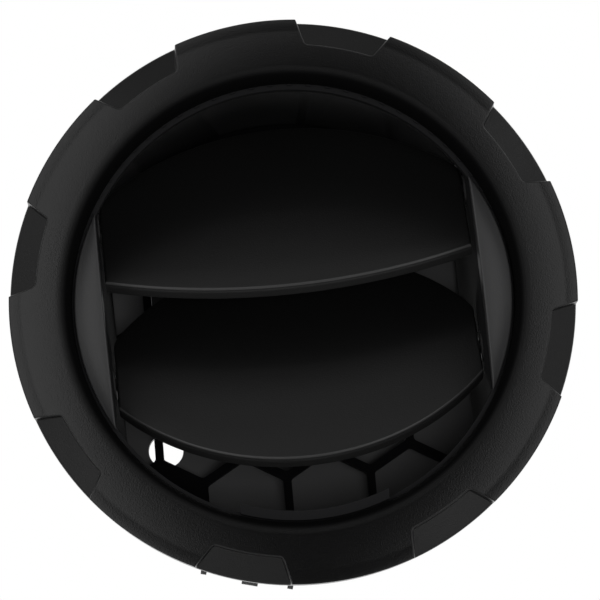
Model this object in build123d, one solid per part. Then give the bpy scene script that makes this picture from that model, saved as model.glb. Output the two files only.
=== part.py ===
from build123d import *
import os
from math import ceil, cos, radians, sin, sqrt

# Round dashboard air vent. The origin is on the vent's axis, in the plane where the bezel's rear
# rim rests on the dashboard. +Y goes into the dashboard, +X is to the right and +Z is up as seen
# from the cabin. Lengths are millimetres and angles are degrees. A clock angle is counted from
# the top, clockwise as seen from the cabin.

# Bezel
bezel_radius = 50.0
bezel_depth = 8.0
outer_roll = 1.2  # depth of the rolled outer edge
outer_roll_width = 2.3
face_width = 6.7
mouth_roll_width = 1.6  # where the face rolls over into the opening
lip_depth = 5.0
collar_gap = 1.4  # from the collar's end to the drum's rim
collar_wall = 2.8
plate_thickness = 4.2
skirt_wall = 2.0

# Finger notches in the bezel
notch_count = 8
notch_phase = 10.2
notch_reach = 4.3  # from the bezel's edge in to the notch's round inner edge
notch_width = 12.2
notch_flank = 30.0
notch_depth = 2.0
notch_corner = 0.9
notch_fall = 3.0  # how much further back its floor is at the bezel's edge

# Housing barrel and its flanges
drum_wall = 1.2
drum_gap = 0.4
drum_bore_step = 2.0  # the drum's bore is wider than the bezel's lip by this
barrel_wall = 1.6
flange_gap = 0.4
flange_thickness = 2.0
rear_flange_reach = 2.2
guard_ledge = 1.6
guard_thickness = 4.0
guard_gap = 0.1

# Retaining clips
clip_count = 4
clip_phase = 9.5
clip_pad_width = 19.0
clip_pad_height = 1.4
clip_pad_start = 20.0
clip_pad_length = 11.0
clip_strip = 0.5
clip_tongue_width = 2.9
clip_tongue_offset = 0.6
clip_prong_width = 1.0
clip_prong_spacing = 15.8
clip_tongue_proud = 0.75  # past the bezel's edge
clip_prong_proud = 0.2
clip_peak_depth = 9.0
clip_toe_depth = 3.0
clip_toe_drop = 2.6
clip_bend = 1.2

# Rotating drum
drum_roll = -6.1  # the drum's clock angle as it is set in the opening
rim_front = -1.0
rim_thickness = 2.0
rim_step = 0.7  # the drum's rim stands in from the bezel's lip by this
drum_rear = 50.0
tooth_count = 72
tooth_inset = 0.6  # from the rim's bore to the teeth
tooth_length = 1.4
tooth_width = 0.9
tooth_height = 0.9
cheek_depth = 7.7  # from the drum's bore to the flat cheek wall
cheek_wall = 1.2
tab_half_width = 13.2
tab_step = 1.4  # the tab stands in from the rim by this
tab_height = 2.2
window_half_height = 23.0
window_start = 4.0
window_length = 14.0
ring_groove_start = 46.5
ring_groove_width = 2.4
ring_groove_depth = 0.5
ring_gap = 0.3

# Cheek covers
cover_overlap = 0.2  # past the rim's bore
cover_crown = 4.5
cover_end = 0.6
cover_edge = 0.3
peg_radius = 0.9
peg_height = 8.0
peg_depth = 4.0
peg_gap = 0.1

# Louvres
louvre_tilt = 60.0
louvre_side_gap = 0.5
louvre_thickness = 2.4
louvre_edge = 0.5
louvre_corner = 1.5
front_edge_depth = 0.0

# Places on the louvres, as shares of the drum's bore radius
upper_front_share = 0.08
upper_chord_share = 0.889
upper_front_rise_share = 0.116
upper_rear_rise_share = 0.326
upper_pivot_share = 0.4444
lower_front_share = -0.669
lower_chord_share = 1.1135
lower_front_rise_share = 0.3623
lower_rear_rise_share = 0.3913
lower_pivot_share = 0.5072

# Louvre shafts
shaft_radius = 1.15
shaft_inset = 3.5
shaft_end_gap = 0.1
spigot_radius = 0.9

# Bushes, cranks and link
running_gap = 0.05
bush_radius = 2.2
bush_flange_radius = 2.8
bush_flange_thickness = 0.3
crank_gap = 0.1
crank_thickness = 0.8
crank_length = 5.0
crank_angle = -60.0
crank_hub_radius = 2.2
crank_end_radius = 1.8
crank_pin_radius = 1.0
link_gap = 0.2
link_thickness = 1.0
link_width = 3.4
link_free_gap = 0.3

# Honeycomb guard
cell_pitch = 16.3
cell_rib = 1.6
cell_corner = 0.8
grid_lean = -4.8
grid_rib_x = -2.86
grid_junction_z = -27.45
guard_inner_step = 0.8  # from the drum's bore in to the guard's opening
grid_limit_step = 0.4  # cells with their middle past this stay closed

# Duct adaptor and its seal
adaptor_wall = 1.6
funnel_length = 13.0
funnel_step = 19.9  # from the drum's bore to the spigot's bore
spigot_length = 16.0
relief_radius = 3.4
relief_reach = 32.8
relief_clock = 228.3
seal_thickness = 2.5
seal_length = 5.0
seal_seat_height = 1.0
seal_start_gap = 0.5
seat_relief_length = 0.6
seat_relief_depth = 0.4

# Detent springs
spring_half_length = 6.0
spring_width = 1.2
spring_lip_step = 1.4  # from the bezel's lip to the strip's middle
spring_strip = 0.4
spring_recess_depth = 1.5
spring_tooth_gap = 0.25
spring_side_gap = 0.25

# Places that follow from the sizes above
face_radius = bezel_radius - outer_roll_width
mouth_radius = face_radius - face_width
lip_radius = mouth_radius - mouth_roll_width
notch_radius = bezel_radius - notch_reach
rim_radius = lip_radius - rim_step
tooth_inner_radius = rim_radius + tooth_inset
tab_radius = rim_radius - tab_step
cover_radius = rim_radius + cover_overlap
spring_radius = lip_radius + spring_lip_step
drum_bore_radius = lip_radius + drum_bore_step
cheek_half_width = drum_bore_radius - cheek_depth
louvre_half_width = cheek_half_width - louvre_side_gap
upper_front_height = drum_bore_radius * upper_front_share
upper_chord = drum_bore_radius * upper_chord_share
upper_front_rise = drum_bore_radius * upper_front_rise_share
upper_rear_rise = drum_bore_radius * upper_rear_rise_share
upper_pivot_chord = drum_bore_radius * upper_pivot_share
lower_front_height = drum_bore_radius * lower_front_share
lower_chord = drum_bore_radius * lower_chord_share
lower_front_rise = drum_bore_radius * lower_front_rise_share
lower_rear_rise = drum_bore_radius * lower_rear_rise_share
lower_pivot_chord = drum_bore_radius * lower_pivot_share
guard_opening_radius = drum_bore_radius - guard_inner_step
grid_limit = drum_bore_radius - grid_limit_step
spigot_bore_radius = drum_bore_radius - funnel_step
clip_tongue_reach = bezel_radius + clip_tongue_proud
clip_prong_reach = bezel_radius + clip_prong_proud
collar_end = rim_front - collar_gap
collar_radius = lip_radius + collar_wall
cavity_floor = -bezel_depth + plate_thickness
skirt_bore_radius = bezel_radius - skirt_wall
drum_radius = drum_bore_radius + drum_wall
barrel_bore_radius = drum_radius + drum_gap
barrel_radius = barrel_bore_radius + barrel_wall
rear_flange_radius = barrel_radius + rear_flange_reach
guard_start = drum_rear + guard_ledge
guard_rear = guard_start + guard_thickness
barrel_rear = guard_rear + guard_ledge
clip_pad_radius = barrel_radius + clip_pad_height
cheek_outer = cheek_half_width + cheek_wall
tooth_front = rim_front - tooth_height
funnel_rear = barrel_rear + funnel_length
spigot_rear = funnel_rear + spigot_length
spigot_outer_radius = spigot_bore_radius + adaptor_wall
seal_seat_radius = spigot_outer_radius + seal_seat_height
cone_rear = funnel_rear + adaptor_wall / 2
seal_start = cone_rear + seal_start_gap
seal_rear = seal_start + seal_length
shaft_end = cheek_outer - shaft_end_gap
crank_inner = cheek_outer + crank_gap
crank_outer = crank_inner + crank_thickness
link_inner = crank_outer + link_gap
link_outer = link_inner + link_thickness
cut_margin = 1.0  # how far a cutting solid runs past the face that it cuts


def flat_plate(sketch, front, rear):
    """A sketch in the X and Z directions, made solid from the depth front to the depth rear."""
    return extrude(Plane.XZ.offset(-rear) * sketch, amount=rear - front)


def turned(*points):
    """The closed outline through (radius, depth) points, turned about the vent's axis."""
    return revolve(make_face(Polyline(*points, close=True)), Axis.Y)


def tube(inner, outer, front, rear):
    return turned((inner, front), (outer, front), (outer, rear), (inner, rear))


def at_clock(shape, angle):
    """Turns a shape that was made at the top to a clock angle."""
    return Rot(0, angle, 0) * shape


def x_rod(radius, start, end, depth, height):
    """A round rod along X from start to end."""
    centre = (start + end) / 2
    return Pos(centre, depth, height) * Rot(0, 90, 0) * Cylinder(radius, abs(end - start))


def louvre_places():
    """Pivot (depth, height) of each louvre, in the drum's own upright frame."""
    along = (cos(radians(louvre_tilt)), sin(radians(louvre_tilt)))
    inward = (along[1], -along[0])
    places = {}
    for name, height, chord in (
        ("upper", upper_front_height, upper_pivot_chord),
        ("lower", lower_front_height, lower_pivot_chord),
    ):
        places[name] = tuple(
            edge + chord * a + louvre_thickness / 2 * n
            for edge, a, n in zip((front_edge_depth, height), along, inward)
        )
    return places


def crank_offset():
    return crank_length * cos(radians(crank_angle)), crank_length * sin(radians(crank_angle))


def notch_sketch():
    """A notch at the top: slanted flanks and a round inner edge with soft corners."""
    half = notch_width / 2
    root = sqrt(notch_radius**2 - half**2)
    slope = sin(radians(notch_flank)) / cos(radians(notch_flank))
    inner, outer = root - cut_margin, bezel_radius + cut_margin
    low, high = half - slope * cut_margin, half + slope * (outer - root)
    shape = make_face(Polyline((-low, inner), (low, inner), (high, outer), (-high, outer), close=True))
    shape -= Circle(notch_radius)
    corners = shape.vertices().sort_by(Axis.Y)[:2]
    return fillet(corners, radius=notch_corner)


def front_bezel():
    outer_start = -bezel_depth + outer_roll
    lip_start = -bezel_depth + lip_depth
    roll = EllipticalCenterArc(
        (face_radius, outer_start), bezel_radius - face_radius, outer_roll, -90, arc_size=90
    )
    mouth = EllipticalCenterArc(
        (mouth_radius, lip_start), mouth_radius - lip_radius, lip_depth, 180, arc_size=90
    )
    outline = [
        Line((bezel_radius, 0), (bezel_radius, outer_start)),
        roll,
        Line((face_radius, -bezel_depth), (mouth_radius, -bezel_depth)),
        mouth,
        Polyline(
            (lip_radius, lip_start),
            (lip_radius, collar_end),
            (collar_radius, collar_end),
            (collar_radius, cavity_floor),
            (skirt_bore_radius, cavity_floor),
            (skirt_bore_radius, 0),
            (bezel_radius, 0),
        ),
    ]
    bezel = revolve(make_face(outline), Axis.Y)
    notch = notch_sketch()
    front, floor = -bezel_depth - cut_margin, -bezel_depth + notch_depth
    spill = cut_margin * notch_fall / notch_reach
    pocket = flat_plate(notch, front, 0) & turned(
        (notch_radius - cut_margin, front),
        (bezel_radius + cut_margin, front),
        (bezel_radius + cut_margin, floor + notch_fall + spill),
        (notch_radius - cut_margin, floor - spill),
    )
    for place in range(notch_count):
        angle = notch_phase + place * 360 / notch_count
        bezel -= at_clock(pocket, angle)
    recess_half = spring_half_length + spring_side_gap
    recess_low = spring_radius - spring_width / 2 - spring_side_gap
    recess = flat_plate(
        Pos(0, (recess_low + collar_radius + cut_margin) / 2)
        * Rectangle(2 * recess_half, collar_radius + cut_margin - recess_low),
        collar_end - spring_recess_depth,
        collar_end + cut_margin,
    )
    for angle in (-90, 90):
        bezel -= at_clock(recess, angle)
    return bezel


def detent_spring(angle):
    """A bent strip: two feet on the recess floor and a nose that reaches to the teeth."""
    floor = collar_end - spring_recess_depth + spring_strip / 2
    nose = tooth_front - spring_tooth_gap - spring_strip / 2
    path = Polyline(
        (-spring_half_length, floor),
        (-spring_half_length * 0.7, floor),
        (-spring_strip, nose),
        (spring_strip, nose),
        (spring_half_length * 0.7, floor),
        (spring_half_length, floor),
    )
    strip = extrude(trace(path, spring_strip), amount=spring_width / 2, both=True)
    return at_clock(Pos(0, 0, spring_radius) * strip, angle)


def outer_housing():
    flange_rear = cavity_floor + flange_thickness
    flange_radius = skirt_bore_radius - flange_gap
    body = turned(
        (barrel_bore_radius, cavity_floor),
        (flange_radius, cavity_floor),
        (flange_radius, flange_rear),
        (barrel_radius, flange_rear),
        (barrel_radius, barrel_rear - flange_thickness),
        (rear_flange_radius, barrel_rear - flange_thickness),
        (rear_flange_radius, barrel_rear),
        (drum_bore_radius, barrel_rear),
        (drum_bore_radius, guard_rear),
        (barrel_bore_radius, guard_rear),
    )
    pad_base = barrel_radius - barrel_wall / 2
    pad = flat_plate(
        Pos(0, (pad_base + clip_pad_radius) / 2) * Rectangle(clip_pad_width, clip_pad_radius - pad_base),
        clip_pad_start,
        clip_pad_start + clip_pad_length,
    )
    pad -= tube(0, barrel_bore_radius + barrel_wall / 4, 0, barrel_rear)
    for place in range(clip_count):
        body += at_clock(pad, clip_phase + place * 360 / clip_count)
    return body


def clip_leaf(reach, width, offset):
    """One spring leaf: off its pad, out to the peak and back in behind the dashboard's edge."""
    base = clip_pad_radius + clip_strip / 2
    peak = reach - clip_strip / 2
    rear = clip_pad_start + clip_pad_length - cut_margin
    path = FilletPolyline(
        (base, rear),
        (base, clip_pad_start - cut_margin),
        (peak, clip_peak_depth),
        (peak - clip_toe_drop, clip_toe_depth),
        radius=clip_bend,
    )
    leaf = extrude(trace(path, clip_strip), amount=width / 2, both=True)
    return Rot(0, -90, 0) * Pos(0, 0, offset) * leaf


def retaining_clip(place):
    start, length = clip_pad_start, clip_pad_length - cut_margin
    base = Pos(0, start + length / 2, clip_pad_radius + clip_strip / 2) * Box(
        clip_pad_width - cut_margin, length, clip_strip
    )
    side = clip_prong_spacing / 2
    clip = base + clip_leaf(clip_tongue_reach, clip_tongue_width, clip_tongue_offset)
    clip += clip_leaf(clip_prong_reach, clip_prong_width, side)
    clip += clip_leaf(clip_prong_reach, clip_prong_width, -side)
    return at_clock(clip, clip_phase + place * 360 / clip_count)


def honeycomb_guard():
    """A ring with pointed-top cells. Cells whose middle lies past the limit stay closed."""
    ring_radius = barrel_bore_radius - guard_gap
    across = cell_pitch - cell_rib
    row_step = cell_pitch * sqrt(3) / 2
    first_row = grid_junction_z - cell_pitch / sqrt(3) / 2
    cell = RegularPolygon(across / 2, 6, major_radius=False, rotation=30)
    cell = fillet(cell.vertices(), radius=cell_corner)
    reach = ceil(2 * grid_limit / row_step)
    opening = Circle(guard_opening_radius)
    cells = Sketch()
    for row in range(reach + 1):
        for column in range(-reach, reach + 1):
            x = grid_rib_x + cell_pitch * (column + (0.5 if row % 2 == 0 else 0))
            z = first_row + row_step * row
            if x**2 + z**2 < grid_limit**2:
                cells += Pos(x, z) * cell
    sketch = Circle(ring_radius) - (cells & opening)
    return at_clock(flat_plate(sketch, guard_start, guard_rear), grid_lean)


def duct_adaptor():
    flange_rear = barrel_rear + flange_thickness
    outer_start = drum_bore_radius + adaptor_wall
    relief_outer_radius = spigot_outer_radius - seat_relief_depth
    body = turned(
        (drum_bore_radius, barrel_rear),
        (rear_flange_radius, barrel_rear),
        (rear_flange_radius, flange_rear),
        (outer_start, flange_rear),
        (seal_seat_radius, cone_rear),
        (seal_seat_radius, seal_rear),
        (relief_outer_radius, seal_rear),
        (relief_outer_radius, seal_rear + seat_relief_length),
        (spigot_outer_radius, seal_rear + seat_relief_length),
        (spigot_outer_radius, spigot_rear),
        (spigot_bore_radius, spigot_rear),
        (spigot_bore_radius, funnel_rear),
    )
    relief = flat_plate(Pos(0, relief_reach) * Circle(relief_radius), barrel_rear, funnel_rear + cut_margin)
    return body - at_clock(relief, relief_clock)


def duct_seal():
    return tube(seal_seat_radius, seal_seat_radius + seal_thickness, seal_start, seal_rear)


def rotor_drum():
    rim_rear = rim_front + rim_thickness
    groove_rear = ring_groove_start + ring_groove_width
    groove_radius = drum_radius - ring_groove_depth
    drum = turned(
        (rim_radius, rim_front),
        (drum_radius, rim_front),
        (drum_radius, ring_groove_start),
        (groove_radius, ring_groove_start),
        (groove_radius, groove_rear),
        (drum_radius, groove_rear),
        (drum_radius, drum_rear),
        (drum_bore_radius, drum_rear),
        (drum_bore_radius, rim_rear),
        (rim_radius, rim_rear),
    )
    window_depth = window_start + window_length / 2
    drum -= Pos(-cheek_outer - drum_radius / 2, window_depth, 0) * Box(
        drum_radius, window_length, 2 * window_half_height
    )
    inside = Circle(drum_bore_radius + drum_wall / 4)
    for side in (-1, 1):
        strip = Pos(side * (cheek_half_width + cheek_wall / 2), 0) * Rectangle(cheek_wall, 2 * drum_radius)
        drum += flat_plate(strip & inside, rim_front, drum_rear)
        for depth, height in louvre_places().values():
            ends = side * (cheek_half_width - cut_margin), side * cheek_outer
            drum -= x_rod(bush_radius, *ends, depth, height)
    tab = Circle((rim_radius + tooth_inner_radius) / 2) - Circle(tab_radius)
    tab &= Pos(0, -drum_radius / 2) * Rectangle(2 * tab_half_width, drum_radius)
    drum += flat_plate(tab, rim_front - tab_height, rim_rear)
    tooth = Rectangle(tooth_length, tooth_width)
    teeth = Sketch() + PolarLocations(tooth_inner_radius + tooth_length / 2, tooth_count) * tooth
    drum += flat_plate(teeth, tooth_front, rim_front + tooth_height / 2)
    return at_clock(drum, drum_roll)


def cheek_cover(side):
    """A crescent with a crowned front and two pegs that reach behind the rim."""
    crescent = Circle(cover_radius) & (
        Pos(side * (cheek_half_width + drum_radius / 2), 0) * Rectangle(drum_radius, 2 * drum_radius)
    )
    cover = flat_plate(crescent, rim_front - cover_crown - cut_margin, rim_front)
    half = sqrt(cover_radius**2 - cheek_half_width**2)
    rise = cover_crown - cover_end
    crown_radius = (half**2 + rise**2) / (2 * rise)
    centre_depth = rim_front - cover_crown + crown_radius
    cover &= x_rod(crown_radius, -bezel_radius, bezel_radius, centre_depth, 0)
    edges = cover.edges().filter_by_position(Axis.Y, -bezel_depth, rim_front - cover_end / 2)
    cover = chamfer(edges, length=cover_edge)
    peg_x = side * (cheek_outer + peg_radius + peg_gap)
    for height in (-peg_height, peg_height):
        peg = Pos(peg_x, height) * Circle(peg_radius)
        cover += flat_plate(peg, rim_front - peg_radius, rim_front + peg_depth)
    return at_clock(cover, drum_roll)


def friction_ring():
    groove_radius = drum_radius - ring_groove_depth
    return tube(
        groove_radius,
        barrel_bore_radius - ring_gap,
        ring_groove_start,
        ring_groove_start + ring_groove_width,
    )


def louvre_bush(name, side):
    depth, height = louvre_places()[name]
    face = cheek_half_width - bush_flange_thickness
    bush = x_rod(bush_radius, side * cheek_half_width, side * cheek_outer, depth, height)
    bush += x_rod(bush_flange_radius, side * face, side * cheek_half_width, depth, height)
    ends = side * (face - cut_margin), side * (cheek_outer + cut_margin)
    bush -= x_rod(shaft_radius + running_gap, *ends, depth, height)
    return at_clock(bush, drum_roll)


def louvre(name, chord, front_rise, rear_rise, pivot_chord):
    """A flat blade with arched front and rear edges, shafts at both ends and a crank spigot."""
    half = louvre_half_width
    outline = [
        ThreePointArc((-half, front_rise), (0, 0), (half, front_rise)),
        Line((half, front_rise), (half, chord - rear_rise)),
        ThreePointArc((half, chord - rear_rise), (0, chord), (-half, chord - rear_rise)),
        Line((-half, chord - rear_rise), (-half, front_rise)),
    ]
    plan = Pos(0, -pivot_chord) * make_face(outline)
    rear_corners = plan.vertices().sort_by(Axis.Y)[2:]
    plan = fillet(rear_corners, radius=louvre_corner)
    blade = extrude(plan, amount=louvre_thickness / 2, both=True)
    rims = blade.edges().filter_by(GeomType.CIRCLE).filter_by(lambda edge: edge.length > half)
    blade = fillet(rims, radius=louvre_edge)
    blade += x_rod(shaft_radius, half - shaft_inset, shaft_end, 0, 0)
    blade += x_rod(shaft_radius, -half + shaft_inset, -shaft_end, 0, 0)
    blade += x_rod(spigot_radius, -shaft_end, -crank_outer, 0, 0)
    depth, height = louvre_places()[name]
    return at_clock(Pos(0, depth, height) * Rot(louvre_tilt, 0, 0) * blade, drum_roll)


def crank(name):
    """A flat arm on the louvre's spigot, with the pin that the link turns on."""
    depth, height = louvre_places()[name]
    along, up = crank_offset()
    hub = x_rod(crank_hub_radius, -crank_inner, -crank_outer, 0, 0)
    end = x_rod(crank_end_radius, -crank_inner, -crank_outer, along, up)
    middle = -(crank_inner + crank_outer) / 2
    arm = Pos(middle, along / 2, up / 2) * Rot(crank_angle, 0, 0) * Box(
        crank_thickness, crank_length, 2 * crank_end_radius
    )
    body = hub + end + arm + x_rod(crank_pin_radius, -crank_outer, -link_outer, along, up)
    body -= x_rod(spigot_radius, -crank_inner + cut_margin, -crank_outer - cut_margin, 0, 0)
    return at_clock(Pos(0, depth, height) * body, drum_roll)


def louvre_link():
    """The flat bar between the two crank pins."""
    places = louvre_places()
    along, up = crank_offset()
    pins = [(places[name][0] + along, places[name][1] + up) for name in ("lower", "upper")]
    bar = SlotCenterToCenter(
        sqrt((pins[1][0] - pins[0][0]) ** 2 + (pins[1][1] - pins[0][1]) ** 2), link_width
    )
    line = Line(pins[0], pins[1])
    middle = line @ 0.5
    turn = Vector(1, 0).get_signed_angle(line % 0.5)
    bar = Pos(middle.X, middle.Y) * Rot(0, 0, turn) * bar
    bar -= Pos(*pins[0]) * Circle(crank_pin_radius + link_free_gap)
    bar -= Pos(*pins[1]) * Circle(crank_pin_radius + running_gap)
    solid = extrude(Plane.YZ.offset(-link_outer) * bar, amount=link_thickness)
    return at_clock(solid, drum_roll)


def build_parts():
    parts = {
        "front_bezel": front_bezel(),
        "outer_housing": outer_housing(),
        "honeycomb_guard": honeycomb_guard(),
        "duct_adaptor": duct_adaptor(),
        "duct_seal": duct_seal(),
        "detent_spring_left": detent_spring(-90),
        "detent_spring_right": detent_spring(90),
        "rotor_drum": rotor_drum(),
        "left_cheek_cover": cheek_cover(-1),
        "right_cheek_cover": cheek_cover(1),
        "friction_ring": friction_ring(),
        "upper_louvre": louvre("upper", upper_chord, upper_front_rise, upper_rear_rise, upper_pivot_chord),
        "lower_louvre": louvre("lower", lower_chord, lower_front_rise, lower_rear_rise, lower_pivot_chord),
        "upper_crank": crank("upper"),
        "lower_crank": crank("lower"),
        "louvre_link": louvre_link(),
    }
    for name in louvre_places():
        parts[f"{name}_left_bush"] = louvre_bush(name, -1)
        parts[f"{name}_right_bush"] = louvre_bush(name, 1)
    for place in range(clip_count):
        parts[f"retaining_clip_{place + 1}"] = retaining_clip(place)
    return parts


os.makedirs("parts", exist_ok=True)
for node, shape in build_parts().items():
    export_step(shape, f"parts/{node}.step")
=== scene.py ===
import bpy
import numpy as np
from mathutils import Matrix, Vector


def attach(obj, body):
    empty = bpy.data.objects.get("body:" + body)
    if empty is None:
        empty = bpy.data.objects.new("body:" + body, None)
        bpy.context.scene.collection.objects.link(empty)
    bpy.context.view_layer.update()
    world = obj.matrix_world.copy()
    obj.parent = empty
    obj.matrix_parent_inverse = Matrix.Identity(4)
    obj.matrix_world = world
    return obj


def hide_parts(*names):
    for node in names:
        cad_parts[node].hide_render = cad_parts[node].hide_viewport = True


print("vent: loading the frame")
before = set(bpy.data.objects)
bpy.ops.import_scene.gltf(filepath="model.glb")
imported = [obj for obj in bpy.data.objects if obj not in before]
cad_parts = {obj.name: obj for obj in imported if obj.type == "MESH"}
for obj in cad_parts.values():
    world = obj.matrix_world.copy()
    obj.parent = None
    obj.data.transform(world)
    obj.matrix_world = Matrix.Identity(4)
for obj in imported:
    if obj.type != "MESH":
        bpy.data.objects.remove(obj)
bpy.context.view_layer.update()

# Shapes are worked out in millimetres and scaled when they become a mesh.
# A clock angle is counted from the top, clockwise as seen from the cabin.
meshScale = 0.001
drumClock = -6.1


# Grid surface: points is (rows, columns, 3), and each point is joined to its neighbours in its row
# and its column. Columns close on themselves, and rows do when closeRows is set. Otherwise each
# open end gets one middle point, the mean of its row, so the shell has no hole.
def gridSurface(points, closeRows):
    rows, columns = points.shape[:2]
    index = np.arange(rows * columns).reshape(rows, columns)
    following = np.roll(index, -1, axis=0) if closeRows else index[1:]
    current = index if closeRows else index[:-1]
    quads = np.stack(
        [current, following, np.roll(following, -1, axis=1), np.roll(current, -1, axis=1)], axis=-1
    ).reshape(-1, 4)
    vertices = points.reshape(-1, 3)
    triangles = np.zeros((0, 3), int)
    if not closeRows:
        middles = np.stack([points[0].mean(axis=0), points[-1].mean(axis=0)])
        first, last = index[0], index[-1]
        start = np.stack([np.full(columns, rows * columns), first, np.roll(first, -1)], axis=-1)
        end = np.stack([np.full(columns, rows * columns + 1), np.roll(last, -1), last], axis=-1)
        vertices = np.concatenate([vertices, middles])
        triangles = np.concatenate([start, end])
    return vertices, quads, triangles


# Several shells as one object at the origin, with its place in its mesh.
def makePiece(name, shells, material, sharpAngle=None):
    vertices, faces, offset = [], [], 0
    for points, quads, triangles in shells:
        vertices.append(points)
        faces += (quads + offset).tolist() + (triangles + offset).tolist()
        offset += len(points)
    mesh = bpy.data.meshes.new(name)
    mesh.from_pydata((np.concatenate(vertices) * meshScale).tolist(), [], faces)
    mesh.validate()
    mesh.shade_smooth()
    if sharpAngle is not None:
        mesh.set_sharp_from_angle(angle=np.radians(sharpAngle))
    mesh.materials.append(material)
    piece = bpy.data.objects.new(name, mesh)
    bpy.context.scene.collection.objects.link(piece)
    return piece


# Turns points about the vent's axis by a clock angle: x becomes x cos + z sin, and z becomes
# z cos - x sin.
def atClock(points, angle):
    turn = np.radians(angle)
    x, y, z = points[..., 0], points[..., 1], points[..., 2]
    return np.stack(
        [x * np.cos(turn) + z * np.sin(turn), y, z * np.cos(turn) - x * np.sin(turn)], axis=-1
    )


# How far a quarter-round edge has fallen at a way into it: r - sqrt(r squared - way squared), with
# nothing before the edge starts and the whole radius past its end.
def edgeFall(way, radius):
    return radius - np.sqrt(radius**2 - np.clip(way, 0, radius) ** 2)


print("vent: finishes")
finishes = {
    "bezelGrain": {
        "colour": (0.002, 0.002, 0.0021), "roughness": 0.28, "specular": 0.5,
        "grainScale": 4200, "grainHeight": 0.00004, "grainStrength": 1.0,
    },
    "cheekGrain": {
        "colour": (0.032, 0.032, 0.0325), "roughness": 0.45, "specular": 0.4,
        "grainScale": 3800, "grainHeight": 0.00003, "grainStrength": 0.8,
    },
    "louvreSatin": {
        "colour": (0.0035, 0.0035, 0.0035), "roughness": 0.36, "specular": 0.4,
        "grainScale": 3500, "grainHeight": 0.00005, "grainStrength": 0.6,
    },
    # painted highlight: the louvres' rounded front edge takes this far lighter copy of the louvre
    # plastic
    "louvreEdgePaintedHighlight": {"colour": (0.034, 0.034, 0.034), "roughness": 0.4, "specular": 0.5},
    # painted light: the louvres' front face takes this lighter copy of the louvre plastic, and its
    # grain is real
    "louvreNosePaintedLight": {
        "colour": (0.014, 0.014, 0.014), "roughness": 0.5, "specular": 0.4,
        "grainScale": 3500, "grainHeight": 0.00005, "grainStrength": 0.8,
    },
    "drumSatin": {"colour": (0.012, 0.012, 0.0125), "roughness": 0.16, "specular": 0.4},
    "housingMatt": {"colour": (0.045, 0.045, 0.047), "roughness": 0.45, "specular": 0.5},
    "adaptorMatt": {"colour": (0.11, 0.11, 0.111), "roughness": 0.5, "specular": 0.5},
    "guardMatt": {"colour": (0.004, 0.004, 0.0045), "roughness": 0.55, "specular": 0.3},
    "foamBlack": {
        "colour": (0.02, 0.02, 0.02), "roughness": 0.95, "specular": 0.2,
        "grainScale": 1400, "grainHeight": 0.0002, "grainStrength": 0.8,
    },
    "springSteel": {"colour": (0.02, 0.02, 0.02), "roughness": 0.4, "specular": 0.3},
    "ringFelt": {
        "colour": (0.03, 0.03, 0.03), "roughness": 1.0, "specular": 0.1,
        "grainScale": 4000, "grainHeight": 0.0001, "grainStrength": 0.8,
    },
    "bushAcetal": {"colour": (0.02, 0.02, 0.02), "roughness": 0.3, "specular": 0.5},
    "crankAcetal": {"colour": (0.6, 0.6, 0.58), "roughness": 0.35, "specular": 0.5},
}
grainRoughness = 0.6


# Moulded plastic: a plain shader, with fine grain from noise in Object coordinates where the look
# has a grain height.
def makePlastic(name, look):
    material = bpy.data.materials.new(name)
    material.use_nodes = True
    nodes, links = material.node_tree.nodes, material.node_tree.links
    shader = nodes["Principled BSDF"]
    shader.inputs["Base Color"].default_value = (*look["colour"], 1)
    shader.inputs["Roughness"].default_value = look["roughness"]
    shader.inputs["Specular IOR Level"].default_value = look["specular"]
    if "grainHeight" in look:
        coordinates = nodes.new("ShaderNodeTexCoord")
        grain = nodes.new("ShaderNodeTexNoise")
        grain.inputs["Scale"].default_value = look["grainScale"]
        grain.inputs["Roughness"].default_value = grainRoughness
        bump = nodes.new("ShaderNodeBump")
        bump.inputs["Strength"].default_value = look["grainStrength"]
        bump.inputs["Distance"].default_value = look["grainHeight"]
        links.new(coordinates.outputs["Object"], grain.inputs["Vector"])
        links.new(grain.outputs["Fac"], bump.inputs["Height"])
        links.new(bump.outputs["Normal"], shader.inputs["Normal"])
    return material


plastics = {name: makePlastic(name, look) for name, look in finishes.items()}

# The mouth's roll-over is matt and the face satin. The drum's front rim and flat cheek walls are
# matt and its bore satin. Places are in metres, and a stretch with a join comes on top of an
# earlier one on the same value.
blends = [
    {
        "finish": "bezelGrain", "socket": "Specular IOR Level", "along": "radius",
        "places": (0.0402, 0.0422), "levels": (0.05, 0.5),
    },
    {
        "finish": "bezelGrain", "socket": "Roughness", "along": "radius",
        "places": (0.0402, 0.0418), "levels": (0.9, 0.28),
    },
    {
        "finish": "drumSatin", "socket": "Specular IOR Level", "along": "depth",
        "places": (0.001, 0.003), "levels": (0.05, 0.4),
    },
    {
        "finish": "drumSatin", "socket": "Roughness", "along": "depth",
        "places": (0.001, 0.003), "levels": (0.9, 0.16),
    },
    {
        "finish": "drumSatin", "socket": "Specular IOR Level", "along": "across",
        "places": (0.0330, 0.0335), "levels": (0.4, 0.1), "join": "MINIMUM",
    },
    {
        "finish": "drumSatin", "socket": "Roughness", "along": "across",
        "places": (0.0330, 0.0335), "levels": (0.16, 0.8), "join": "MAXIMUM",
    },
]


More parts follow.
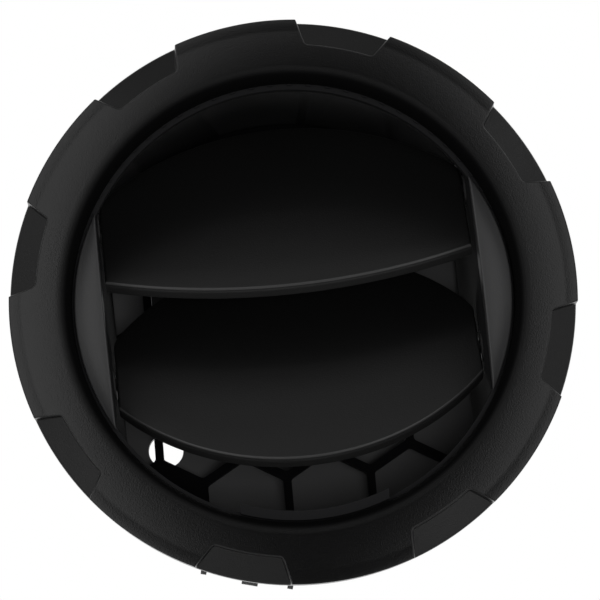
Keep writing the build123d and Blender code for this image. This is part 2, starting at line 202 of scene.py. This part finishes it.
# Lets one shader value run from one level to another over a stretch of the object: along the
# radius about the vent's axis, along the depth, or across the drum from its middle outwards, where
# the place is |x cos(clock) - z sin(clock)|.
def blendAlong(material, blend):
    nodes, links = material.node_tree.nodes, material.node_tree.links
    coordinates = nodes.new("ShaderNodeTexCoord")
    if blend["along"] == "radius":
        flatten = nodes.new("ShaderNodeVectorMath")
        flatten.operation = "MULTIPLY"
        flatten.inputs[1].default_value = (1, 0, 1)
        links.new(coordinates.outputs["Object"], flatten.inputs[0])
        measure = nodes.new("ShaderNodeVectorMath")
        measure.operation = "LENGTH"
        links.new(flatten.outputs["Vector"], measure.inputs[0])
        place = measure.outputs["Value"]
    elif blend["along"] == "across":
        turn = np.radians(drumClock)
        dot = nodes.new("ShaderNodeVectorMath")
        dot.operation = "DOT_PRODUCT"
        dot.inputs[1].default_value = (np.cos(turn), 0, -np.sin(turn))
        links.new(coordinates.outputs["Object"], dot.inputs[0])
        size = nodes.new("ShaderNodeMath")
        size.operation = "ABSOLUTE"
        links.new(dot.outputs["Value"], size.inputs[0])
        place = size.outputs["Value"]
    else:
        split = nodes.new("ShaderNodeSeparateXYZ")
        links.new(coordinates.outputs["Object"], split.inputs["Vector"])
        place = split.outputs["Y"]
    spread = nodes.new("ShaderNodeMapRange")
    spread.inputs["From Min"].default_value, spread.inputs["From Max"].default_value = blend["places"]
    spread.inputs["To Min"].default_value, spread.inputs["To Max"].default_value = blend["levels"]
    links.new(place, spread.inputs["Value"])
    level = spread.outputs["Result"]
    target = nodes["Principled BSDF"].inputs[blend["socket"]]
    if "join" in blend:
        joined = nodes.new("ShaderNodeMath")
        joined.operation = blend["join"]
        links.new(target.links[0].from_socket, joined.inputs[0])
        links.new(level, joined.inputs[1])
        level = joined.outputs["Value"]
    links.new(level, target)


for blend in blends:
    blendAlong(plastics[blend["finish"]], blend)

nodeFinishes = {
    "outer_housing": "housingMatt",
    "honeycomb_guard": "guardMatt",
    "duct_adaptor": "adaptorMatt",
    "duct_seal": "foamBlack",
    "rotor_drum": "drumSatin",
    "friction_ring": "ringFelt",
    "louvre_link": "crankAcetal",
}
for name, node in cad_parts.items():
    finish = nodeFinishes.get(name)
    if name.startswith(("retaining_clip", "detent_spring")):
        finish = "springSteel"
    if name.endswith("_bush"):
        finish = "bushAcetal"
    if name.endswith("_crank"):
        finish = "crankAcetal"
    if finish:
        node.data.materials.clear()
        node.data.materials.append(plastics[finish])


print("vent: bezel")
bezelValues = {
    "outerRadius": 50.4, "faceRadius": 48.2, "mouthRadius": 41.0, "lipRadius": 39.4,
    "faceDepth": 8.4, "faceLean": 0.9, "faceCrown": 0.6,
    "rollStart": -6.3, "rollSlant": 0.6, "lipDepth": 5.4,
    "collarEnd": -2.4, "collarRadius": 42.2, "cavityFloor": -3.8, "skirtBore": 48.0,
    "notchCount": 8, "notchPhase": 10.2, "notchRadius": 45.7, "notchWidth": 12.2,
    "notchFlank": 30.0, "notchDepth": 2.4, "notchCorner": 0.5, "notchFall": 3.0,
    "notchEdge": 0.3, "notchWall": 0.2, "floorEdge": 0.3,
    "edgeSoftness": 0.2, "edgeMiddle": 0.3,
    # lines of the grid: how many there are, and how far they stand from an edge
    "rollLines": 13, "mouthLines": 19, "outerFaceLines": 6, "innerFaceLines": 9,
    "faceStart": 0.3, "faceEnd": 0.2, "skirtStops": (0.35, 0.7, 0.93),
    "rootLines": 15, "rootReach": 0.36, "rootClear": 0.45,
    "flankLines": 15, "flankReach": 0.42, "notchLines": 7, "lobeLines": 10,
}


# The bezel's closed outline as (radius, depth): over the outer edge (part slant, part quarter
# ellipse), across the face, which falls back towards the edge as a x + b x squared, down the mouth
# on a quarter ellipse, round the collar, back inside the skirt and up its outside.
def bezelOutline(v):
    turn = np.radians(np.linspace(0, 90, v["rollLines"]))
    rollWidth = v["outerRadius"] - v["faceRadius"]
    rollStart = v["rollStart"]
    rollHeight = v["faceDepth"] - v["faceLean"] - v["faceCrown"] + rollStart
    rise = v["rollSlant"] * (1 - np.cos(turn)) + (1 - v["rollSlant"]) * np.sin(turn)
    roll = np.stack([v["faceRadius"] + rollWidth * np.cos(turn), rollStart - rollHeight * rise], -1)
    root = v["notchRadius"]
    faceStops = np.concatenate([
        np.linspace(v["faceRadius"] - v["faceStart"], root + v["rootClear"], v["outerFaceLines"]),
        np.linspace(root + v["rootReach"], root - v["rootReach"], v["rootLines"]),
        np.linspace(root - v["rootClear"], v["mouthRadius"] + v["faceEnd"], v["innerFaceLines"]),
    ])
    across = (faceStops - v["mouthRadius"]) / (v["faceRadius"] - v["mouthRadius"])
    faceDepths = -v["faceDepth"] + v["faceLean"] * across + v["faceCrown"] * across**2
    face = np.stack([faceStops, faceDepths], -1)
    turn = np.radians(np.linspace(0, 90, v["mouthLines"]))
    mouthWidth = v["mouthRadius"] - v["lipRadius"]
    mouthRadii = v["mouthRadius"] - mouthWidth * np.sin(turn)
    mouthDepths = -v["faceDepth"] + v["lipDepth"] - v["lipDepth"] * np.cos(turn)
    mouth = np.stack([mouthRadii, mouthDepths], -1)
    soft = v["edgeSoftness"]
    middle = soft * v["edgeMiddle"]
    rest = np.array([
        (v["lipRadius"], v["collarEnd"] - soft),
        (v["lipRadius"] + middle, v["collarEnd"] - middle),
        (v["lipRadius"] + soft, v["collarEnd"]),
        (v["collarRadius"] - soft, v["collarEnd"]),
        (v["collarRadius"], v["collarEnd"] - soft),
        (v["collarRadius"], v["cavityFloor"] + soft),
        (v["collarRadius"] + soft, v["cavityFloor"]),
        (v["skirtBore"] - soft, v["cavityFloor"]),
        (v["skirtBore"], v["cavityFloor"] + soft),
        (v["skirtBore"], -soft),
        (v["skirtBore"] + soft, 0.0),
        (v["outerRadius"] - soft, 0.0),
        (v["outerRadius"] - middle, -middle),
        (v["outerRadius"], -soft),
        *[(v["outerRadius"], rollStart * share) for share in v["skirtStops"]],
    ])
    return np.concatenate([roll, face, mouth, rest])


# One sector holds one notch. Lines of the grid bend to follow the notch's slanted flank, and
# the depth drops from the face to the notch floor by the distance inside the notch's outline: a
# quarter round, a steep wall and a floor that falls back towards the bezel's edge.
def bezelPoints(v):
    outline = bezelOutline(v)
    radius, depth = outline[:, 0], outline[:, 1]
    half = v["notchWidth"] / 2
    flankAngle = np.radians(v["notchFlank"])
    slope = np.tan(flankAngle)
    root = np.sqrt(v["notchRadius"] ** 2 - half**2)
    reach = np.maximum(radius, v["notchRadius"])
    start = half - slope * root
    # where the flank's line x = start + slope z meets the circle of each radius
    flankZ = (-start * slope + np.sqrt(reach**2 * (1 + slope**2) - start**2)) / (1 + slope**2)
    flank = np.arctan2(start + slope * flankZ, flankZ)
    close = np.linspace(-v["flankReach"], v["flankReach"], v["flankLines"])[:, None] / reach[None, :]
    inside = np.linspace(0, 1, v["notchLines"])[:, None] * (flank + close[0])[None, :]
    lobe = (np.pi / v["notchCount"] - flank - close[-1])[None, :]
    outside = (flank + close[-1])[None, :] + np.linspace(0, 1, v["lobeLines"])[:, None] * lobe
    side = np.concatenate([inside[:-1], flank[None, :] + close, outside[1:]])
    sector = np.concatenate([-side[:0:-1], side[:-1]])
    turns = np.radians(v["notchPhase"] + np.arange(v["notchCount"]) * 360 / v["notchCount"])
    angle = np.concatenate([sector + turn for turn in turns])
    local = np.concatenate([sector] * v["notchCount"])
    x, z = np.abs(radius * np.sin(local)), radius * np.cos(local)
    # distance inside the notch's outline, with a round inner corner
    toRoot = np.broadcast_to(radius - v["notchRadius"], x.shape)
    toFlank = (start + slope * z - x) * np.cos(flankAngle)
    nearest = np.minimum(toRoot, toFlank)
    corner = v["notchCorner"]
    rounded = corner - np.hypot(np.maximum(corner - toRoot, 0), np.maximum(corner - toFlank, 0))
    inward = np.where(nearest > corner, nearest, rounded)
    # the notch floor, and how far each point drops or shrinks to it
    edge, rollStart, floorEdge = v["notchEdge"], v["rollStart"], v["floorEdge"]
    floorShare = np.maximum(radius - v["notchRadius"], 0) / (v["outerRadius"] - v["notchRadius"])
    floorFall = edgeFall(radius - (v["outerRadius"] - floorEdge), floorEdge)
    floor = v["notchDepth"] - v["faceDepth"] + v["notchFall"] * floorShare + floorFall
    tolerance = 1e-6
    onFront = (depth <= rollStart + tolerance) & (radius > v["mouthRadius"])
    onSkirt = (radius > v["outerRadius"] - tolerance) & ~onFront
    drop = np.where(onFront, floor - depth, 0)
    wall = 1 - (1 - np.clip(inward / v["notchWall"], 0, 1)) ** 2
    lowered = np.where(inward > 0, edge + (drop - edge) * wall, edgeFall(inward + edge, edge))
    skirtShare = np.clip((inward + edge) / (v["notchWall"] + edge), 0, 1)
    squashed = depth * (1 - skirtShare * (1 - floor / rollStart))
    newDepth = np.where(onSkirt, squashed, depth + lowered * (drop > 0))
    return np.stack([radius * np.sin(angle), newDepth, radius * np.cos(angle)], -1)


bezel = makePiece("bezelFace", [gridSurface(bezelPoints(bezelValues), True)], plastics["bezelGrain"])
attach(bezel, "housing")
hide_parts("front_bezel")


rodValues = {"points": 24, "softness": 0.15, "softShare": 0.25}


# A round rod along an axis, as a grid of four rings with closed ends. Each ring is
# centre + radius (cos, sin), and the two at the ends are smaller by the softness of the edge.
def rodShell(radius, start, end, axis, centre):
    turn = np.linspace(0, 2 * np.pi, rodValues["points"] + 1)[:-1]
    soft = min(rodValues["softness"], radius * rodValues["softShare"])
    places = np.array([start, start + soft, end - soft, end])
    radii = np.array([radius - soft, radius, radius, radius - soft])
    ring = np.zeros((len(places), len(turn), 3))
    others = [n for n in range(3) if n != axis]
    ring[..., axis] = places[:, None]
    ring[..., others[0]] = centre[0] + radii[:, None] * np.cos(turn)
    ring[..., others[1]] = centre[1] + radii[:, None] * np.sin(turn)
    return gridSurface(ring, False)


print("vent: cheek covers")
cheekValues = {
    "halfWidth": 33.7, "radius": 38.9, "rimFront": -1.0, "crown": 4.5, "endHeight": 0.6,
    "edge": 0.35, "edgeShare": 0.45, "sideFall": 1.0, "fallPower": 1.5, "fallHeight": 2.0,
    "pegRadius": 0.9, "pegHeight": 8.0, "pegDepth": 4.0, "pegRoot": 0.9, "pegClearance": 0.1,
    "cheekWall": 1.2, "loops": 73, "edgeLines": 7, "wallStops": (0.0, 0.5),
    "frontStops": (0.2, 0.4, 0.6, 0.8),
}


# Loops across the crescent, one for each height: from the chord's wall over the crowned front
# (an arc from tip to tip, which falls back outwards as a power of the share of the width) to the
# round wall, with quarter-round edges that shrink to nothing at the tips.
def cheekPoints(v, side):
    tip = np.sqrt(v["radius"] ** 2 - v["halfWidth"] ** 2)
    rise = v["crown"] - v["endHeight"]
    bend = (tip**2 + rise**2) / (2 * rise)
    height = tip * np.sin(np.linspace(-np.pi / 2, np.pi / 2, v["loops"])[1:-1])
    inner = np.full_like(height, v["halfWidth"])
    outer = np.sqrt(v["radius"] ** 2 - height**2)
    width = outer - inner
    rim = v["rimFront"]
    front = rim - v["crown"] + bend - np.sqrt(bend**2 - height**2)
    edge = np.minimum(v["edge"], width * v["edgeShare"])
    fall = v["sideFall"] * width / np.max(width) * np.minimum(1, (rim - front) / v["fallHeight"])
    turn = np.radians(np.linspace(0, 90, v["edgeLines"]))
    across, depth = [], []
    for share in v["wallStops"]:
        across.append(inner)
        depth.append(rim + (front + edge - rim) * share)
    for angle in turn:
        across.append(inner + edge * (1 - np.cos(angle)))
        depth.append(front + edge * (1 - np.sin(angle)))
    for share in v["frontStops"]:
        across.append(inner + edge + (width - 2 * edge) * share)
        depth.append(front + fall * share ** v["fallPower"])
    for angle in turn[::-1]:
        across.append(outer - edge * (1 - np.cos(angle)))
        depth.append(front + fall + edge * (1 - np.sin(angle)))
    for share in v["wallStops"][::-1]:
        across.append(outer)
        depth.append(rim + (front + fall + edge - rim) * share)
    across, depth = np.stack(across, -1), np.stack(depth, -1)
    points = np.stack([side * across, depth, np.broadcast_to(height[:, None], across.shape)], -1)
    return points if side < 0 else points[:, ::-1]


for side, label in ((-1, "left"), (1, "right")):
    v = cheekValues
    pegPlace = side * (v["halfWidth"] + v["cheekWall"] + v["pegRadius"] + v["pegClearance"])
    pegEnds = v["rimFront"] - v["pegRoot"], v["rimFront"] + v["pegDepth"]
    shells = [gridSurface(cheekPoints(v, side), False)]
    for pegHeight in (-v["pegHeight"], v["pegHeight"]):
        shells.append(rodShell(v["pegRadius"], *pegEnds, 1, (pegPlace, pegHeight)))
    shells = [(atClock(points, drumClock), quads, triangles) for points, quads, triangles in shells]
    cover = makePiece(label + "CheekCover", shells, plastics["cheekGrain"])
    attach(cover, "rotor")
    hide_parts(label + "_cheek_cover")


print("vent: louvres")
louvreValues = {
    "tilt": 60.0, "halfWidth": 33.2, "thickness": 2.4, "frontDepth": 0.0,
    "corner": 1.5, "cornerDepth": 0.55, "rearRound": 0.5, "sideRound": 0.3, "sideMiddle": 0.3,
    "noseRound": 0.45, "noseDrop": 0.7, "lipShare": 0.15,
    "grooveDepth": 0.1, "grooveStops": (0.1, 0.18, 0.26, 0.34),
    "shaftRadius": 1.15, "shaftEnd": 34.8, "shaftInset": 3.5,
    "spigotRadius": 0.9, "spigotEnd": 35.8, "spigotRoot": 0.5,
    "sections": 91, "roundLines": 8, "lipStops": (0.05, 0.1),
    "chordStops": (0.15, 0.3, 0.45, 0.6, 0.75, 0.9), "sharpAngle": 60,
    # the rounded front edge, which carries a painted highlight, and the front face, which carries
    # painted light, as columns of the blade's grid
    "paintedHighlightColumns": (1, 5), "paintedLightNoseColumns": (6, 14),
}
bladeValues = {
    "upper": {
        "frontHeight": 3.3, "chord": 36.8, "frontRise": 4.8, "rearRise": 13.5, "pivotChord": 18.4,
    },
    "lower": {
        "frontHeight": -27.7, "chord": 46.1, "frontRise": 15.0, "rearRise": 16.2, "pivotChord": 21.0,
    },
}


# Height of an arc through (-half, rise), (0, 0) and (half, rise) at each x.
def arcRise(x, half, rise):
    bend = (half**2 + rise**2) / (2 * rise)
    return bend - np.sqrt(bend**2 - x**2)


# Cross-sections of the blade side by side along X, between a front and a rear arc. Each is a closed
# loop: a rounded nose with a fine parting groove and a lip under it, the underside, a rounded rear
# edge and the top from rear to front.
def bladePoints(v, blade):
    half, thick = v["halfWidth"], v["thickness"] / 2
    sideStop = half - v["sideRound"] * v["sideMiddle"]
    x = half * np.sin(np.linspace(-np.pi / 2, np.pi / 2, v["sections"]))
    x = np.unique(np.concatenate([x, [-sideStop, sideStop]]))
    fromSide = half - np.abs(x)
    front = arcRise(x, half, blade["frontRise"])
    rear = blade["chord"] - arcRise(x, half, blade["rearRise"])
    rear = rear - edgeFall(v["corner"] - fromSide, v["corner"]) * v["cornerDepth"]
    squeeze = edgeFall(v["sideRound"] - fromSide, v["sideRound"])
    nose, groove, drop, back = v["noseRound"], v["grooveDepth"], v["noseDrop"], v["rearRound"]
    quarter = np.radians(np.linspace(0, 90, v["roundLines"]))
    frontParts = [(nose * (1 - np.sin(a)), thick - nose * (1 - np.cos(a))) for a in quarter]
    grooveSteps = (0.0, groove, groove, 0.0)
    frontParts += [(step, thick - nose - stop) for step, stop in zip(grooveSteps, v["grooveStops"])]
    frontParts += [(0.0, 0.0), (0.0, -thick - drop + nose)]
    frontParts += [
        (nose * (1 - np.cos(a)), -thick - drop + nose * (1 - np.sin(a))) for a in quarter[1:]
    ]
    rearParts = [(back * (1 - np.sin(a)), -thick + back * (1 - np.cos(a))) for a in quarter]
    rearParts += [(back * (1 - np.cos(a)), thick - back * (1 - np.sin(a))) for a in quarter[1:]]
    span = rear - back - front - nose
    chord, height = [], []
    for step, level in frontParts:
        chord.append(front + step)
        height.append(np.full_like(x, level))
    for share in v["lipStops"] + v["chordStops"]:
        chord.append(front + nose + span * share)
        height.append(np.full_like(x, -thick - drop * max(1 - share / v["lipShare"], 0)))
    for step, level in rearParts:
        chord.append(rear - step)
        height.append(np.full_like(x, level))
    for share in v["chordStops"][::-1]:
        chord.append(front + nose + span * share)
        height.append(np.full_like(x, thick))
    chord, height = np.stack(chord, -1), np.stack(height, -1)
    height = height * (1 - squeeze[:, None] / thick)
    return np.stack([np.broadcast_to(x[:, None], chord.shape), chord - blade["pivotChord"], height], -1)


# Tilts a blade's own points about its pivot and sets them in the drum: depth is chord cos(tilt)
# - height sin(tilt), and height is chord sin(tilt) + height cos(tilt).
def placeBlade(points, v, blade):
    tilt, thick = np.radians(v["tilt"]), v["thickness"] / 2
    x, chord, height = points[..., 0], points[..., 1], points[..., 2]
    depth = chord * np.cos(tilt) - height * np.sin(tilt)
    up = chord * np.sin(tilt) + height * np.cos(tilt)
    pivotDepth = v["frontDepth"] + blade["pivotChord"] * np.cos(tilt) + thick * np.sin(tilt)
    pivotHeight = blade["frontHeight"] + blade["pivotChord"] * np.sin(tilt) - thick * np.cos(tilt)
    return atClock(np.stack([x, depth + pivotDepth, up + pivotHeight], -1), drumClock)


for label, blade in bladeValues.items():
    v = louvreValues
    bladeGrid = bladePoints(v, blade)
    shaftRoot = v["halfWidth"] - v["shaftInset"]
    shells = [
        gridSurface(bladeGrid, False),
        rodShell(v["shaftRadius"], shaftRoot, v["shaftEnd"], 0, (0, 0)),
        rodShell(v["shaftRadius"], -v["shaftEnd"], -shaftRoot, 0, (0, 0)),
        rodShell(v["spigotRadius"], -v["spigotEnd"], -v["shaftEnd"] + v["spigotRoot"], 0, (0, 0)),
    ]
    shells = [(placeBlade(points, v, blade), quads, triangles) for points, quads, triangles in shells]
    louvre = makePiece(label + "LouvreBlade", shells, plastics["louvreSatin"], v["sharpAngle"])
    # the rounded front edge gets a far lighter copy of the blade's plastic, as a painted highlight
    louvre.data.materials.append(plastics["louvreEdgePaintedHighlight"])
    # the front face gets a lighter copy of the blade's plastic, as painted light on the nose
    louvre.data.materials.append(plastics["louvreNosePaintedLight"])
    # the blade's quads come first, row by row
    finishIndex = np.zeros(len(louvre.data.polygons), dtype=np.int32)
    column = np.arange(len(shells[0][1])) % bladeGrid.shape[1]
    # the painted highlight goes on the front edge's columns, and the painted light on the front face's
    # columns
    for place, key in ((1, "paintedHighlightColumns"), (2, "paintedLightNoseColumns")):
        first, last = v[key]
        finishIndex[:len(column)][(column >= first) & (column <= last)] = place
    louvre.data.polygons.foreach_set("material_index", finishIndex)
    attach(louvre, label + "_louvre")
    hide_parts(label + "_louvre")


print("vent: lights and camera")
studioValues = {
    "ambient": 0.8,
    "aim": (0.0, -0.008, 0.0), "cameraDistance": 0.5427, "azimuth": -0.685, "elevation": -7.16,
    "lens": 184.51, "sensor": 36.0, "shiftX": 0.01044, "shiftY": -0.00408, "clipStart": 0.01,
}
# Black and grey cards round the vent, which its satin plastic mirrors softly. Each is a rectangle
# with its middle at a place, and its two half sides given as vectors.
cardValues = {
    "frontCurtain": {
        "middle": (0.08, -0.95, 0.0), "side": (0.39, 0.0, 0.0), "rise": (0.04, 0.0, 1.25),
        "grey": 0.0, "shades": False,
    },
    "overheadCard": {
        "middle": (0.0, -0.05, 0.95), "side": (0.9, 0.0, 0.0), "rise": (0.0, 0.6, 0.0),
        "grey": 0.2, "shades": True,
    },
    "leftCard": {
        "middle": (-0.95, -0.05, 0.0), "side": (0.0, 0.6, 0.0), "rise": (0.0, 0.0, 0.9),
        "grey": 0.35, "shades": False,
    },
    "rightCard": {
        "middle": (0.95, -0.05, 0.0), "side": (0.0, 0.6, 0.0), "rise": (0.0, 0.0, 0.9),
        "grey": 0.35, "shades": False,
    },
}
cardLook = {"colour": (0.004, 0.004, 0.004), "roughness": 1.0, "specular": 0.0}
floorValues = {"middle": (0.0, 0.3, -0.95), "side": (1.0, 0.0, 0.0), "rise": (0.0, 1.0, 0.0)}
floorLook = {"colour": (0.5, 0.5, 0.5), "roughness": 0.9, "specular": 0.2}
# direction towards the light as azimuth (from the front, to the right) and elevation, degrees
lampValues = {
    "topSoftbox": {
        "azimuth": 0, "elevation": 58, "distance": 0.85, "size": 0.5, "watts": 0.2, "mirrored": True,
    },
    "leftSoftbox": {
        "azimuth": -40, "elevation": 0, "distance": 0.85, "size": 0.4, "watts": 0.06, "mirrored": True,
    },
    "frontFill": {
        "azimuth": 3, "elevation": -8, "distance": 0.85, "size": 0.15, "watts": 2.2, "mirrored": False,
    },
}


# Position at a distance from a middle point, by azimuth a from the front and elevation e: the
# direction is (sin a cos e, -cos a cos e, sin e).
def around(middle, azimuth, elevation, distance):
    a, e = np.radians(azimuth), np.radians(elevation)
    direction = Vector((np.sin(a) * np.cos(e), -np.cos(a) * np.cos(e), np.sin(e)))
    return Vector(middle) + direction * distance


# A square area lamp at a place round the vent, turned towards the origin.
def makeLamp(name, v):
    light = bpy.data.lights.new(name, "AREA")
    light.size = v["size"]
    light.energy = v["watts"]
    lamp = bpy.data.objects.new(name, light)
    lamp.visible_glossy = v["mirrored"]
    lamp.location = around((0, 0, 0), v["azimuth"], v["elevation"], v["distance"])
    lamp.rotation_euler = (-lamp.location).to_track_quat("-Z", "Y").to_euler()
    bpy.context.scene.collection.objects.link(lamp)


# A rectangle of the stage: its corners are middle -/+ side -/+ rise.
def makeBoard(name, v, material):
    middle, side, rise = (np.array(v[key]) for key in ("middle", "side", "rise"))
    corners = [middle - side - rise, middle + side - rise, middle + side + rise, middle - side + rise]
    mesh = bpy.data.meshes.new(name)
    mesh.from_pydata([corner.tolist() for corner in corners], [], [(0, 1, 2, 3)])
    mesh.materials.append(material)
    board = bpy.data.objects.new(name, mesh)
    bpy.context.scene.collection.objects.link(board)
    return board


for name, values in lampValues.items():
    makeLamp(name, values)

world = bpy.data.worlds.new("studioWorld")
bpy.context.scene.world = world
world.use_nodes = True
worldNodes, worldLinks = world.node_tree.nodes, world.node_tree.links
worldNodes.clear()
mixer = worldNodes.new("ShaderNodeMixShader")
output = worldNodes.new("ShaderNodeOutputWorld")
# an even light for diffuse rays, and plain white wherever the surroundings are seen
for place, strength in ((1, studioValues["ambient"]), (2, 1.0)):
    glow = worldNodes.new("ShaderNodeBackground")
    glow.inputs["Color"].default_value = (1, 1, 1, 1)
    glow.inputs["Strength"].default_value = strength
    worldLinks.new(glow.outputs["Background"], mixer.inputs[place])
path = worldNodes.new("ShaderNodeLightPath")
seen = path.outputs["Is Camera Ray"]
for ray in ("Is Transmission Ray", "Is Glossy Ray"):
    either = worldNodes.new("ShaderNodeMath")
    either.operation = "MAXIMUM"
    worldLinks.new(seen, either.inputs[0])
    worldLinks.new(path.outputs[ray], either.inputs[1])
    seen = either.outputs["Value"]
worldLinks.new(seen, mixer.inputs["Fac"])
worldLinks.new(mixer.outputs["Shader"], output.inputs["Surface"])

for name, card in cardValues.items():
    cardFinish = makePlastic(name, cardLook)
    cardShader = cardFinish.node_tree.nodes["Principled BSDF"]
    cardShader.inputs["Emission Color"].default_value = (1, 1, 1, 1)
    cardShader.inputs["Emission Strength"].default_value = card["grey"]
    cardObject = makeBoard(name, card, cardFinish)
    cardObject.visible_diffuse = card["shades"]
    cardObject.visible_camera = False

# a plain pale floor, well below the vent
floorObject = makeBoard("paleFloor", floorValues, makePlastic("floorPale", floorLook))

aim = studioValues["aim"]
cameraData = bpy.data.cameras.new("photoCamera")
cameraData.sensor_width = studioValues["sensor"]
cameraData.lens = studioValues["lens"]
cameraData.shift_x = studioValues["shiftX"]
cameraData.shift_y = studioValues["shiftY"]
cameraData.clip_start = studioValues["clipStart"]
camera = bpy.data.objects.new("photoCamera", cameraData)
camera.location = around(
    aim, studioValues["azimuth"], studioValues["elevation"], studioValues["cameraDistance"]
)
camera.rotation_euler = (Vector(aim) - camera.location).to_track_quat("-Z", "Y").to_euler()
bpy.context.scene.collection.objects.link(camera)
bpy.context.scene.camera = camera
bpy.context.scene.view_settings.view_transform = "Standard"
